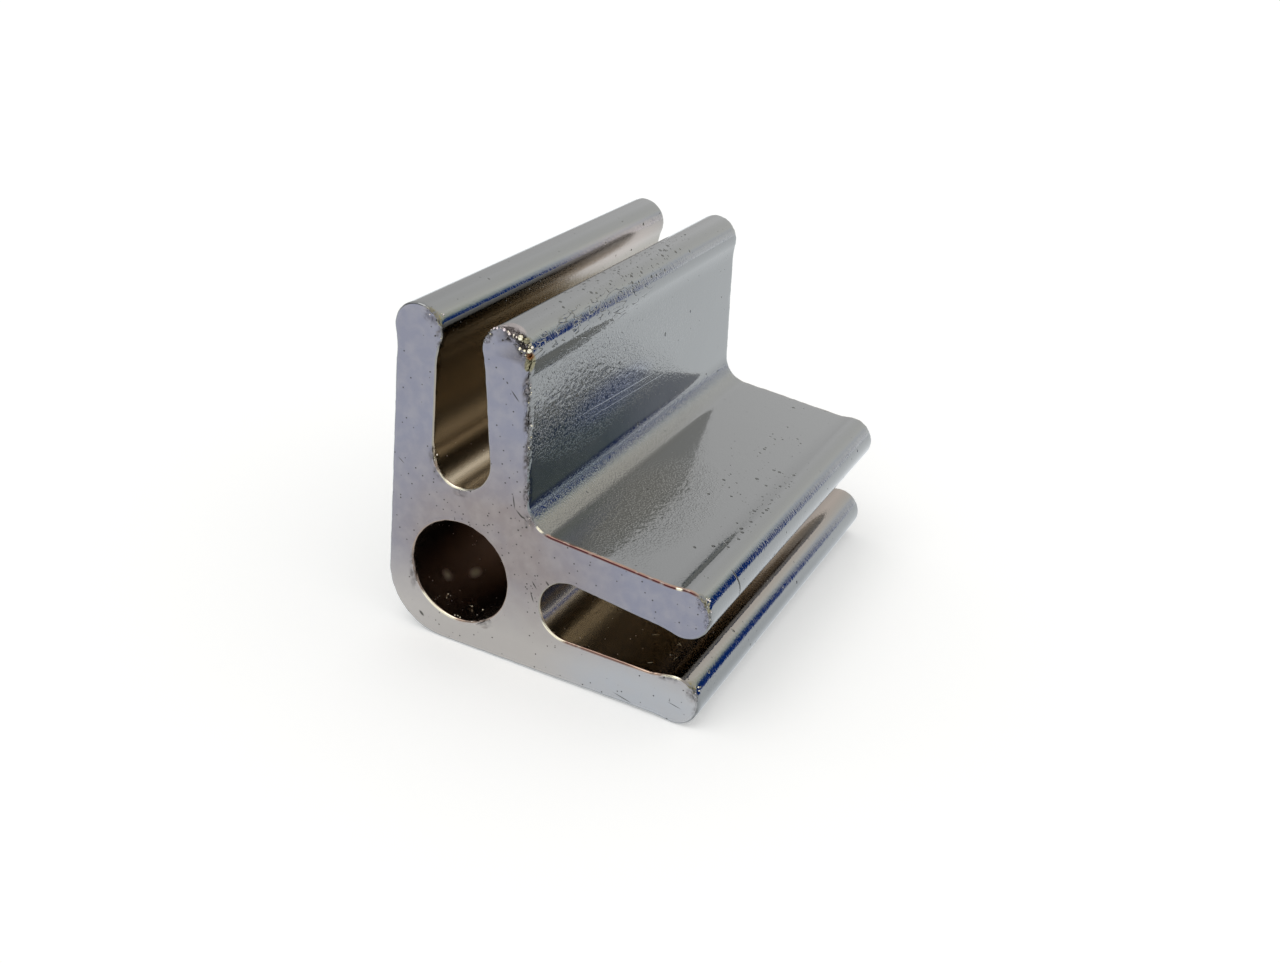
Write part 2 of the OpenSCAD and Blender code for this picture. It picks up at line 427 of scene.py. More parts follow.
def extrusion_tree(ring_count):
    """Sweeps the section along the piece as two tubes of quads, outline and bore, and closes both ends."""
    tree, sockets = new_geometry_tree("extruded_section", WALL_SOCKETS)
    section, stations = (
        add(tree, "GeometryNodeObjectInfo", {"Object": sockets[name]})["Geometry"] for name in ("Section", "Stations")
    )
    place = add(tree, "GeometryNodeInputPosition")[0]
    index = add(tree, "GeometryNodeInputIndex")[0]
    way, recess, reach = (
        add(tree, "GeometryNodeInputNamedAttribute", {"Name": name}, data_type=kind)[0]
        for name, kind in (("open_way", "FLOAT_VECTOR"), ("recess", "FLOAT"), ("end_inset", "FLOAT"))
    )
    count = sockets["Station count"]
    row = add(tree, "ShaderNodeMath", {0: index, 1: count}, operation="MODULO")[0]
    column = add(tree, "ShaderNodeMath", {0: index, 1: count}, operation="DIVIDE")[0]
    column = add(tree, "ShaderNodeMath", {0: column}, operation="FLOOR")[0]
    station, front, back = (
        add(
            tree, "GeometryNodeSampleIndex", {"Geometry": stations, "Value": place, "Index": number},
            data_type="FLOAT_VECTOR",
        )[0]
        for number in (row, 0, ring_count - 1)
    )
    inset = add(tree, "ShaderNodeSeparateXYZ", {0: station})[0]
    inset = total(tree, [inset, sockets["Edge radius"]], "MULTIPLY")
    shells = []
    for points, first in ((sockets["Outline points"], 0.0), (sockets["Bore points"], sockets["Outline points"])):
        columns = total(tree, [points, 1.0])
        tube = add(tree, "GeometryNodeMeshGrid", {"Vertices X": columns, "Vertices Y": count})[0]
        turn = add(tree, "ShaderNodeMath", {0: column, 1: points}, operation="MODULO")[0]
        turn = total(tree, [turn, first])
        at, open_way, depth = (
            add(tree, "GeometryNodeSampleIndex", {
                "Geometry": section, "Value": value, "Index": turn}, data_type=kind)[0]
            for value, kind in ((place, "FLOAT_VECTOR"), (way, "FLOAT_VECTOR"), (recess, "FLOAT"))
        )
        for name, value in (("recess", depth), ("end_inset", inset)):
            tube = add(tree, "GeometryNodeStoreNamedAttribute", {"Geometry": tube, "Name": name, "Value": value})[0]
        spot_at = placed(tree, sockets, at, open_way, station)
        tube = add(tree, "GeometryNodeSetPosition", {"Geometry": tube, "Position": spot_at})[0]
        shells.append(add(tree, "GeometryNodeFlipFaces", {0: tube})[0])
    for station, share in ((front, -0.5), (back, 0.5)):
        parts = add(tree, "ShaderNodeSeparateXYZ", {0: placed(tree, sockets, place, way, station)})
        flat = add(tree, "ShaderNodeCombineXYZ", {0: parts[0], 1: parts[2]})[0]
        ring = add(tree, "GeometryNodeSetPosition", {"Geometry": section, "Position": flat})[0]
        ring = add(tree, "GeometryNodeMeshToCurve", {0: ring})[0]
        end = add(tree, "GeometryNodeFillCurve", {"Curve": ring})[0]
        level = total(tree, [sockets["Length"], share], "MULTIPLY")
        parts = add(tree, "ShaderNodeSeparateXYZ", {0: place})
        lifted = add(tree, "ShaderNodeCombineXYZ", {0: parts[0], 1: level, 2: parts[1]})[0]
        end = add(tree, "GeometryNodeSetPosition", {"Geometry": end, "Position": lifted})[0]
        end = add(tree, "GeometryNodeStoreNamedAttribute", {
            "Geometry": end, "Name": "end_inset", "Value": DEEP_END * MM})[0]
        shells.append(add(tree, "GeometryNodeFlipFaces", {0: end})[0] if share > 0 else end)
    joined = tree.nodes.new("GeometryNodeJoinGeometry")
    for shell in shells:
        feed(tree, joined, {0: shell})
    done = add(tree, "GeometryNodeMergeByDistance", {0: joined.outputs[0], "Distance": MICRON})[0]
    for kind in ("GeometryNodeSetShadeSmooth", "GeometryNodeRealizeInstances"):
        done = add(tree, kind, {0: done})[0]
    on_end = add(tree, "FunctionNodeCompare", {0: reach, 1: ON_END * MM}, operation="GREATER_THAN")[0]
    done = add(tree, "GeometryNodeSetMaterial", {"Geometry": done, "Material": sockets["Side finish"]})[0]
    done = add(tree, "GeometryNodeSetMaterial", {
        "Geometry": done, "Selection": on_end, "Material": sockets["End finish"]})[0]
    add(tree, "NodeGroupOutput", {0: done})
    return tree


# Materials

# The front edge of the lower arm's upper face, and the lifted flap of plate
UPPER_EDGE = ((20, FRONT, 8), (12.5, 1.5, 1.8), 0.2)
FLAP_SPOT = ((4.6, -27.9, 32.0), (2.5, 0.85, 1.1), 0.35)


def new_material(name):
    """A material and its principled shader."""
    made = bpy.data.materials.new(name)
    made.use_nodes = True
    return made, made.node_tree, made.node_tree.nodes["Principled BSDF"]


def spot(tree, place, centre, radii, soft=0.6):
    """1 in the middle of an ellipsoid given in mm, fading to 0 at its rim."""
    away = place
    for operation, values in (("SUBTRACT", centre), ("DIVIDE", radii)):
        away = add(tree, "ShaderNodeVectorMath", {0: away, 1: [v * MM for v in values]}, operation=operation)[0]
    away = add(tree, "ShaderNodeVectorMath", {0: away}, operation="LENGTH")["Value"]
    return add(tree, "ShaderNodeMapRange", {0: away, 1: 1 - soft, 3: 1.0, 4: 0.0}, interpolation_type="SMOOTHSTEP")[0]


def spots(tree, place, *rows):
    """The greatest of several spots, each a row of centre, radii, softness and weight."""
    return total(tree, [(spot(tree, place, *shape), weight) for *shape, weight in rows], "MAXIMUM")


def grain(tree, place, size, detail=2.0, stretch=(1, 1, 1), shift=0.0):
    """Noise with cells of a size in mm, from 0 to 1."""
    flow = add(tree, "ShaderNodeMapping", {"Vector": place, "Scale": stretch, "Location": (shift, shift, shift)})[0]
    return add(tree, "ShaderNodeTexNoise", {"Vector": flow, "Scale": 1 / (size * MM), "Detail": detail})[0]


def patches(tree, place, size, detail, low, high, least=0.0, most=1.0, shift=0.0):
    """Noise turned into patches: least where it lies under low, and most where it lies over high."""
    flow = grain(tree, place, size, detail, shift=shift)
    return add(tree, "ShaderNodeMapRange", {0: flow, 1: low, 2: high, 3: least, 4: most})[0]


def pits(tree, place, spacing, size, share):
    """Round pits of a greatest radius in mm, in a share of the cells of a scattered pattern. The smallest have 0.35
    of that radius, and the flat floor of a pit reaches 0.55 of the way out."""
    cells = add(tree, "ShaderNodeTexVoronoi", {"Vector": place, "Scale": 1 / (spacing * MM)})
    chance = add(tree, "ShaderNodeSeparateColor", {0: cells["Color"]})
    reach = add(tree, "ShaderNodeMapRange", {0: chance[1], 3: 0.35 * size / spacing, 4: size / spacing})[0]
    floor = total(tree, [reach, 0.55], "MULTIPLY")
    depth = add(tree, "ShaderNodeMapRange", {0: cells["Distance"], 1: floor, 2: reach, 3: 1.0, 4: 0.0})[0]
    chosen = add(tree, "ShaderNodeMath", {0: chance[0], 1: share}, operation="LESS_THAN")[0]
    return total(tree, [depth, chosen], "MULTIPLY")


def strokes(tree, place, axes, rows, zone=None):
    """Straight scratches, each a row of start, end and width in mm, seen along the axis that axes leaves out. A zone,
    given as a spot, keeps them to one face."""
    parts = add(tree, "ShaderNodeSeparateXYZ", {0: place})
    flat = add(tree, "ShaderNodeCombineXYZ", {0: parts[axes[0]], 1: parts[axes[1]]})[0]
    made = []
    for start, end, width in rows:
        centre = Vector(((start[0] + end[0]) / 2, (start[1] + end[1]) / 2, 0)) * MM
        way = Vector((end[0] - start[0], end[1] - start[1], 0)) * MM
        away = add(tree, "ShaderNodeVectorMath", {0: flat, 1: centre}, operation="SUBTRACT")[0]
        turn = {"Vector": away, "Angle": -math.atan2(way.y, way.x)}
        away = add(tree, "ShaderNodeVectorRotate", turn, rotation_type="Z_AXIS")[0]
        size = (way.length / 2, width * MM / 2, 1.0)
        away = add(tree, "ShaderNodeVectorMath", {0: away, 1: size}, operation="DIVIDE")[0]
        away = add(tree, "ShaderNodeVectorMath", {0: away}, operation="LENGTH")["Value"]
        made.append(add(tree, "ShaderNodeMapRange", {0: away, 1: 0.5, 3: 1.0, 4: 0.0})[0])
    made = total(tree, made)
    return total(tree, [made, spot(tree, place, *zone)], "MULTIPLY") if zone else made


def dress(tree, shader, base, layers, heights, roughness):
    """Colour, bump and roughness of a metal. Layers pair a mask with the colour that it lays over the base, heights
    pair a pattern with its height in micrometres, and the parts of the roughness add up."""
    for mask, colour in layers:
        base = add(tree, "ShaderNodeMix", {0: mask, 6: base, 7: colour}, data_type="RGBA")[2]
    bump = add(tree, "ShaderNodeBump", {"Height": total(tree, heights), "Distance": MICRON, "Strength": 1.0})[0]
    feed(tree, shader, {"Base Color": base, "Normal": bump, "Roughness": total(tree, roughness), "Metallic": 1.0})


def edge_layers(tree, place, finish):
    """How far in from the outline a point lies, how broken the metal is, the bump of the broken metal, and the colours
    of the worn edges as (mask, colour): copper, darker copper, painted highlights laid as cream glints, stains, and
    broken metal with its bright flakes."""
    torn = add(tree, "ShaderNodeAttribute", attribute_name="torn")["Fac"]
    depth = add(tree, "ShaderNodeSeparateXYZ", {0: place})[1]
    depth = add(tree, "ShaderNodeMath", {0: depth}, operation="ABSOLUTE")[0]
    half = (NODE_BOX[1].y - NODE_BOX[0].y) / 2
    near = add(tree, "ShaderNodeMapRange", {0: depth, 1: half - 0.42 * MM, 2: half - 0.3 * MM})[0]
    # How far a point of the rounded edge or of the cut end lies inside the outline
    inset = add(tree, "ShaderNodeAttribute", attribute_name="end_inset")["Fac"]
    rim = add(tree, "ShaderNodeMapRange", {0: inset, 1: 0.2 * MM, 2: 0.34 * MM, 3: 1.0, 4: 0.0})[0]
    lower_side = add(tree, "ShaderNodeMapRange", {0: inset, 1: 0.02 * MM, 2: 0.09 * MM})[0]
    bare = total(tree, [near, rim, spots(
        tree, place, (*UPPER_EDGE, 1.0),
        ((20, FRONT, -4.4), (11, 1.5, 1.2), 0.3, 1.0),
        ((-2.4, FRONT, 12.2), (2.6, 1.5, 2.6), 0.3, 0.6),
        ((-1.6, FRONT, -6.2), (3.4, 1.5, 1.6), 0.3, 0.7),
        ((20, BACK, 8), (12.5, 1.5, 1.8), 0.2, 0.6),
    ), patches(tree, place, 1.6, 3.0, 0.3, 0.44)], "MULTIPLY")
    # Darker copper on the cap side of the rounded edge, along the lower arm's upper edge and the lower channel's rim
    darker_copper = spots(tree, place, (*UPPER_EDGE, 1.0), ((18, FRONT, -4.4), (7, 1.5, 1.2), 0.4, 0.7))
    darker_copper = total(tree, [bare, lower_side, darker_copper], "MULTIPLY")
    tips = spots(
        tree, place,
        ((31.3, -28.6, 6.6), (1.0, 0.7, 2.2), 0.4, 1.0),
        ((-4.4, -28.6, 31.0), (2.2, 0.7, 1.4), 0.4, 1.0),
        ((30.9, -28.6, -4.6), (1.2, 0.7, 1.0), 0.4, 1.0),
    )
    tips = total(tree, [tips, patches(tree, place, 0.35, 2.0, 0.4, 0.55, shift=0.2), rim], "MULTIPLY")
    # Painted highlights: cream glints laid on the rounded front edges of the bore, the channels and the lower arm
    painted_glint = spots(
        tree, place,
        ((-2.6, FRONT, -5.6), (3.4, 1.5, 2.2), 0.3, 1.0),
        ((13.0, FRONT, -3.6), (2.4, 1.5, 1.6), 0.5, 1.0),
        ((-1.6, FRONT, 11.6), (2.6, 1.5, 2.2), 0.5, 1.0),
        ((10.4, -28.6, 9.2), (0.7, 0.6, 0.6), 0.5, 1.0),
        ((28.0, -28.6, 7.6), (0.5, 0.6, 0.5), 0.5, 1.0),
        ((28.2, -28.6, -3.8), (1.6, 0.6, 0.6), 0.5, 1.0),
    )
    painted_glint = total(tree, [painted_glint, near, rim, lower_side], "MULTIPLY")
    flakes = total(tree, [torn, patches(tree, place, 0.35, 3.0, 0.5, 0.66)], "MULTIPLY")
    grit = total(tree, [torn, grain(tree, place, 0.16, 2.0)], "MULTIPLY")
    return inset, torn, (grit, 90.0), [
        (bare, finish.copper), (darker_copper, finish.copper_dark), (painted_glint, finish.cream_lump_and_glint), (tips, finish.olive),
        (torn, finish.torn), (flakes, finish.flake), (spot(tree, place, *FLAP_SPOT), finish.flap),
        (spot(tree, place, (7.5, -28.5, 28.6), (0.75, 1.0, 1.3), 0.25), finish.olive),
        (spot(tree, place, (7.35, -28.5, 29.35), (0.6, 1.0, 0.6), 0.6), finish.amber),
    ]


def chrome_material(finish):
    """Decorative bright chrome over nickel on an extruded bar: a mirror whose skin has the fine dimples of
    plated metal, faint drawing lines along the piece, pits, and warmer nickel where the chrome didn't reach. Some
    of its colour is painted light: painted shade in the inner corner and on the upright inner leg, painted blue
    and warm reflections on that leg and on the outer beads, and painted glints on the edges."""
    made, tree, shader = new_material("bright_chrome_plate")
    place = add(tree, "ShaderNodeTexCoord")["Object"]
    recess = add(tree, "ShaderNodeAttribute", attribute_name="recess")["Fac"]
    # The dimples are deepest on the leg beside the inner corner, on its bead and midway along the lower arm
    amount = total(tree, [spots(
        tree, place,
        ((8, -14, 20.5), (4, 19, 8.5), 0.6, 1.0),
        ((8, -8, 21), (4, 34, 11), 0.6, 0.3),
        ((18, -13, 8.5), (9, 18, 3), 0.6, 0.6),
    ), patches(tree, place, 9, 2.0, 0.35, 0.7, 0.04, 0.12)], "MAXIMUM")
    skin = grain(tree, place, 0.26, 2.0)
    flecks = add(tree, "ShaderNodeMapRange", {0: skin, 1: 0.5, 2: 0.63})[0]
    dimples = total(tree, [flecks, (grain(tree, place, 0.6, 1.0, (1, 0.6, 1)), 1.1)])
    dimples = total(tree, [dimples, amount], "MULTIPLY")
    in_fillet = spot(tree, place, (10.2, -10, 10.2), (2.4, 60, 2.4), 0.5)
    peel = total(tree, [total(tree, [(flecks, 0.5), skin]), in_fillet], "MULTIPLY")
    on_beads = spots(tree, place, ((7, -10, 30), (4, 30, 4), 0.6, 1.0), ((32, -6, 0), (5, 40, 14), 0.6, 1.0))
    ripples = total(tree, [grain(tree, place, 0.26, 2.0, (0.4, 1, 0.4)), on_beads], "MULTIPLY")
    # Pits lie thickest on the upper bead beside the inner corner and along the outer part of the lower arm
    pitted = spots(
        tree, place,
        ((5, -2, 31.5), (4, 25, 3.2), 0.6, 1.0),
        ((28.2, -6, 8.2), (2.2, 22, 2), 0.6, 0.9),
        ((8, -16, 25), (3, 16, 7), 0.6, 0.5),
        ((24, 4, 8.2), (8, 24, 2), 0.6, 0.25),
    )
    small_pits, large_pits = (
        pits(tree, place, spacing, size, add(tree, "ShaderNodeMapRange", {0: pitted, 1: low, 3: least, 4: most})[0])
        for spacing, size, low, least, most in ((0.45, 0.13, 0.0, 0.05, 0.8), (0.8, 0.32, 0.1, 0.012, 0.95))
    )
    # Wrinkles in the plate, just under the top of that bead, where a noise crosses its middle value
    away = add(tree, "ShaderNodeMath", {0: grain(tree, place, 0.8, 1.0, (1, 0.3, 1)), 1: 0.5}, operation="SUBTRACT")[0]
    away = add(tree, "ShaderNodeMath", {0: away}, operation="ABSOLUTE")[0]
    worms = total(tree, [
        add(tree, "ShaderNodeMapRange", {0: away, 1: 0.01, 2: 0.04, 3: 1.0, 4: 0.0})[0],
        spot(tree, place, (7.6, -14, 29.8), (2.0, 17, 2.6), 0.3),
        patches(tree, place, 1.7, 1.0, 0.44, 0.5),
    ], "MULTIPLY")
    scratches = strokes(tree, place, (1, 2), (
        ((-19.5, 18.5), (6.5, 17.1), 0.16), ((-17.5, 17.4), (12, 15.9), 0.12), ((-24, 21.9), (-2, 20.6), 0.08),
    ), ((8.2, -6, 18), (0.6, 40, 12), 0.1))
    crack = strokes(
        tree, place, (1, 2), [((-20.9, 8.0), (-20.0, 3.4), 0.4)], ((32, -20.4, 5.6), (1.5, 1.2, 2.6), 0.2)
    )
    # Specks of dust and burnt plate that catch the light deep in the channels and the bore
    deep = add(tree, "ShaderNodeMapRange", {0: recess, 1: 0.6, 2: 0.9})[0]
    specks = total(tree, [pits(tree, place, 1.3, 0.1, 0.5), deep], "MULTIPLY")
    # Short hair marks on the floor of the lower channel and smudges in the bore
    hairs = strokes(tree, place, (0, 1), (
        ((22.5, -21.7), (23.4, -21.0), 0.16), ((25.8, -21.2), (26.7, -22.1), 0.16),
        ((26.0, -22.2), (26.2, -21.2), 0.14), ((27.0, -25.4), (27.3, -24.3), 0.14),
        ((24.6, -27.3), (25.3, -26.7), 0.14),
    ), ((25, -24, -4.4), (4, 5, 1.4), 0.2))
    smudges = total(tree, [hairs, spots(
        tree, place,
        ((-3.2, -19.5, -5.7), (0.9, 1.6, 0.9), 0.9, 0.95), ((-4.7, -23.7, -4.5), (1.1, 1.1, 1.1), 1.0, 0.8),
    )], "MAXIMUM")
    marks = total(tree, [(small_pits, 0.8), (large_pits, 0.75), (worms, 0.5), crack], "MAXIMUM")
    inset, torn, grit, layers = edge_layers(tree, place, finish)
    # The chrome reaches over the rounded edges into the channels
    past_edge = add(tree, "ShaderNodeMapRange", {0: inset, 1: 0.02 * MM, 2: 0.12 * MM, 3: 1.0, 4: 0.35})[0]
    unplated = total(tree, [recess, past_edge], "MULTIPLY")
    in_bore = add(tree, "ShaderNodeMapRange", {0: recess, 1: 1.0, 2: 2.0})[0]
    # Painted light laid as colour: warm reflection bands on the channel side of both outer beads, painted shade and a
    # painted blue reflection on the upright inner leg, and painted shade in the inner corner
    warm_reflection_band = spots(tree, place, ((-3.9, 12, 29.0), (1.3, 25, 2.8), 0.7, 0.65))
    casts = [(spots(tree, place, *rows), colour) for colour, *rows in (
        # Painted shade low on the upright inner leg, near the front
        (finish.dull, ((8.6, -18, 14.0), (2.0, 21, 7.0), 0.7, 0.75)),
        # Painted blue reflection midway up the upright inner leg
        (finish.painted_blue_reflection, ((8.4, -9, 18.3), (2.0, 14, 3.4), 0.8, 0.6)),
        # Painted shade along the inner corner and on the lower arm beside it
        (finish.corner_shade, ((11.2, -22, 9.4), (2.6, 50, 2.0), 0.8, 0.7), ((15, -16, 8.4), (6, 20, 1.6), 0.7, 0.5)),
        # Painted warm reflection band on the channel side of the lower outer bead, in the bore's nickel colour
        (finish.bore_nickel_and_reflection, ((28.2, 0, -4.3), (3.4, 90, 2.0), 0.6, 0.6)),
    )]
    matt = add(tree, "ShaderNodeMapRange", {0: recess, 3: 0.055, 4: 0.24})[0]
    dress(tree, shader, finish.chrome, [
        (unplated, finish.nickel), (in_bore, finish.bore_nickel_and_reflection), (warm_reflection_band, finish.nickel_and_warm_reflection), *casts,
        (total(tree, [scratches, 0.7], "MULTIPLY"), finish.scratch), (marks, finish.pit),
        (smudges, finish.cream_lump_and_glint), (specks, finish.lump_pale), *layers,
    ], [
        (dimples, 38.0), (peel, 36.0), (ripples, 17.0), (grain(tree, place, 3.0, 1.0, shift=0.5), 9.0),
        (grain(tree, place, 0.3, 2.0, (1, 0.012, 1)), 1.6), (small_pits, -20.0), (large_pits, -50.0),
        (worms, -42.0), (scratches, 14.0), (crack, -60.0), grit,
    ], [
        matt, (warm_reflection_band, 0.16), (in_fillet, 0.05), (marks, 0.3), (scratches, 0.2), (torn, 0.3), (specks, 0.3),
        (smudges, 0.4), (spot(tree, place, *FLAP_SPOT), 0.25),
    ])
    return made


def end_material(finish):
    """Saw-cut end, ground and then plated: satin, with a cool sheen that turns warmer round the corner, and with
    fine dark pores. A painted reflection of the floor makes it brighter towards the bottom, and paler and cooler low
    on the lower leg."""
    made, tree, shader = new_material("satin_plated_end")
    place = add(tree, "ShaderNodeTexCoord")["Object"]
    parts = add(tree, "ShaderNodeSeparateXYZ", {0: place})
    blotch = grain(tree, place, 5.0, 3.0)
    away = add(tree, "ShaderNodeVectorMath", {0: place, 1: (4 * MM, FRONT * MM, MM)}, operation="DISTANCE")["Value"]
    # Warm round the corner and the bore, fading to cool about 15 mm away, less so along the outer face on the left
    warm = total(tree, [
        add(tree, "ShaderNodeMapRange", {0: value, 1: low, 2: high, 3: first, 4: last})[0]
        for value, low, high, first, last in (
            (away, 9 * MM, 19 * MM, 1.0, 0.0), (parts[0], -9.8 * MM, -5 * MM, 0.7, 1.0), (blotch, 0.3, 0.7, 0.7, 1.1),
        )
    ], "MULTIPLY")
    # Painted reflection of the floor: the cut end is brighter towards the bottom
    bright = add(tree, "ShaderNodeMapRange", {0: parts[2], 1: 2 * MM, 2: -6.5 * MM, 4: 0.9})[0]
    pore_zone = spots(
        tree, place,
        ((10.1, FRONT, 0.9), (1.3, 2, 3.2), 0.4, 1.0),
        ((7.9, FRONT, 10.6), (1.7, 2, 1.6), 0.4, 1.0),
        ((3, FRONT, 5), (8, 2, 7), 0.6, 0.45),
    )
    pores = pits(tree, place, 0.5, 0.17, add(tree, "ShaderNodeMapRange", {0: pore_zone, 3: 0.14})[0])
    scratches = strokes(tree, place, (0, 2), (
        ((5.5, 25.1), (6.75, 23.8), 0.2), ((4.9, 25.9), (5.15, 25.6), 0.22), ((-9.0, 12.6), (-8.0, 11.9), 0.12),
        ((-5.4, -7.2), (-4.6, -7.9), 0.45), ((21.3, -8.6), (24.2, -9.3), 0.16), ((28.2, -7.2), (30.2, -7.6), 0.12),
        ((11.6, 2.9), (12.2, 2.2), 0.3), ((6.6, 12.6), (7.0, 10.6), 0.2), ((7.0, 10.8), (8.7, 9.4), 0.26),
        ((9.8, 2.3), (10.6, 1.3), 0.2), ((9.7, 0.9), (10.3, -0.6), 0.2),
    ))
    marks = total(tree, [(pores, 0.95), (scratches, 0.85)], "MAXIMUM")
    # Painted reflection of the floor: paler, cooler plate low on the lower leg's cut end
    pale = spots(tree, place, ((25, FRONT, -8.0), (15, 2, 5), 0.7, 0.8))
    cloud = patches(tree, place, 1.6, 4.0, 0.4, 0.7, 0.0, 0.2, shift=0.4)
    inset, torn, grit, layers = edge_layers(tree, place, finish)
    matt = add(tree, "ShaderNodeMapRange", {0: inset, 1: 0.25 * MM, 2: 0.5 * MM, 3: 0.12, 4: 0.34})[0]
    dress(tree, shader, finish.end_cool, [
        (warm, finish.end_warm), (bright, finish.end_clouds_and_floor_sheen), (pale, finish.end_floor_sheen), (cloud, finish.end_clouds_and_floor_sheen),
        (marks, finish.pit), *layers,
    ], [
        (grain(tree, place, 0.25, 2.0), 3.0), (blotch, 16.0), (pores, -18.0), (scratches, -14.0), grit,
    ], [matt, (torn, 0.2)])
    return made


def nodule_material(finish):
    """Nodules of burnt plate on a broken edge: bright lumps of nickel, each with a tint of its own."""
    made, tree, shader = new_material("burnt_nickel_nodules")
    place = add(tree, "ShaderNodeTexCoord")["Object"]
    shade = add(tree, "ShaderNodeAttribute", attribute_name="shade")["Fac"]
    creamy = add(tree, "ShaderNodeMapRange", {0: shade, 2: 0.5})[0]
    stained = add(tree, "ShaderNodeMapRange", {0: shade, 1: 0.5})[0]
    dull = patches(tree, place, 0.3, 2.0, 0.5, 0.66, 0.0, 0.5)
    dress(tree, shader, finish.lump_pale, [
        (creamy, finish.cream_lump_and_glint), (stained, finish.olive), (dull, finish.torn),
    ], [(grain(tree, place, 0.12, 2.0), 12.0)], [0.16])
    return made


# Pieces

EDGE_STEPS = 5
CAP_INSETS = (1.55, 1.45, 1.35, 1.25, 1.15, 1.05, 0.95, 0.85, 0.75, 0.65, 0.55, 0.45, 0.37)


def station_rows(sizes):
    """Rows of the swept section from the front end to the back end, as (inset, end, along)."""
    radius = sizes.edge_radius / MM
    cap = [(inset / radius, -1.0, -1.0) for inset in CAP_INSETS]
    edge = []
    for i in range(EDGE_STEPS + 1):
        angle = math.pi / 2 * i / EDGE_STEPS
        edge.append((1 - math.sin(angle), -math.cos(angle), -1.0))
    count = sizes.station_count
    # Rows lie a fifth of the mean step apart at the ends, where the edge is worn
    close = 0.2
    middle = []
    for i in range(1, count):
        p = i / count
        middle.append((0.0, 0.0, 2 * (close * p + (1 - close) * (3 * p * p - 2 * p**3)) - 1))
    front = cap + edge
    return front + middle + [(inset, -end, -along) for inset, end, along in reversed(front)]


# Broken edge of the upright inner leg, at the front: how far the break reaches in from the outline, in mm, by the
# angle round the bead, 0 towards the inner corner and 90 at the top
BREAK = (
    (-16, 0.0), (-11, 0.35), (6, 0.5), (15, 0.66), (21, 1.15), (27, 1.45), (69, 1.5), (88, 1.2), (98, 0.62), (108, 0.3),
    (122, 0.18), (134, 0.0),
)
BREAK_DEPTH = 0.85
# How far behind the front, in mm, points still belong to the cut end, and how far back the sides are broken too
FACE_DEPTH, SIDE_DEPTH = 0.02, 0.9
# How far behind an end, in mm, its worn places are pushed in along the piece as well
EDGE_DEPTH = 0.35
# The lifted flap of plate behind the break: angles round the bead where it starts and ends, its length and its rise
FLAP = (38, 118, 1.1, 0.2)
# Worn places on the edges, on the front end and then on the back end: middle x and z, reach, depth, all in mm, and
# how much broken metal shows
WORN = {
    FRONT: (
        ((7.5, 28.4), (0.9, 0.9, 1.5), 0.45, 0.0), ((7.6, 25.6), (0.8, 0.8, 2.2), 0.50, 1.0),
        ((7.9, 22.0), (0.7, 0.7, 2.6), 0.38, 1.0), ((8.1, 17.6), (0.6, 0.6, 3.0), 0.26, 0.9),
        ((8.4, 13.4), (0.6, 0.6, 2.2), 0.24, 0.9), ((8.8, 9.7), (0.9, 0.8, 1.2), 0.24, 0.35),
        ((31.3, 7.2), (1.3, 0.9, 1.6), 0.30, 0.25), ((32.0, 4.9), (0.8, 0.7, 1.4), 0.25, 0.3),
        ((31.4, -5.0), (1.3, 0.8, 1.5), 0.26, 0.35), ((32.0, -7.4), (0.7, 0.7, 1.3), 0.20, 0.35),
        ((27.5, -4.2), (2.2, 0.5, 0.5), 0.12, 0.5), ((-4.2, 14.2), (0.7, 0.7, 1.2), 0.35, 0.45),
        ((-3.0, 12.4), (1.3, 0.5, 1.4), 0.16, 0.5), ((-0.4, 10.5), (1.2, 0.6, 0.6), 0.25, 0.25),
        ((3.4, -5.6), (1.7, 0.7, 0.9), 0.28, 0.35), ((-6.3, -1.6), (0.8, 0.6, 3.0), 0.14, 0.6),
        ((-4.6, 31.2), (1.7, 0.7, 1.2), 0.18, 0.4), ((-3.7, 28.6), (0.8, 0.7, 2.0), 0.25, 0.7),
        ((2.0, 30.8), (0.9, 0.6, 1.2), 0.24, 0.7),
    ),
    BACK: (
        ((31.0, 6.0), (1.6, 0.9, 2.0), 0.10, 0.2), ((6.5, 31.0), (2.0, 0.9, 1.6), 0.06, 0.1),
        ((-8.0, 12.0), (1.4, 0.6, 5.0), 0.14, 0.4),
    ),
}


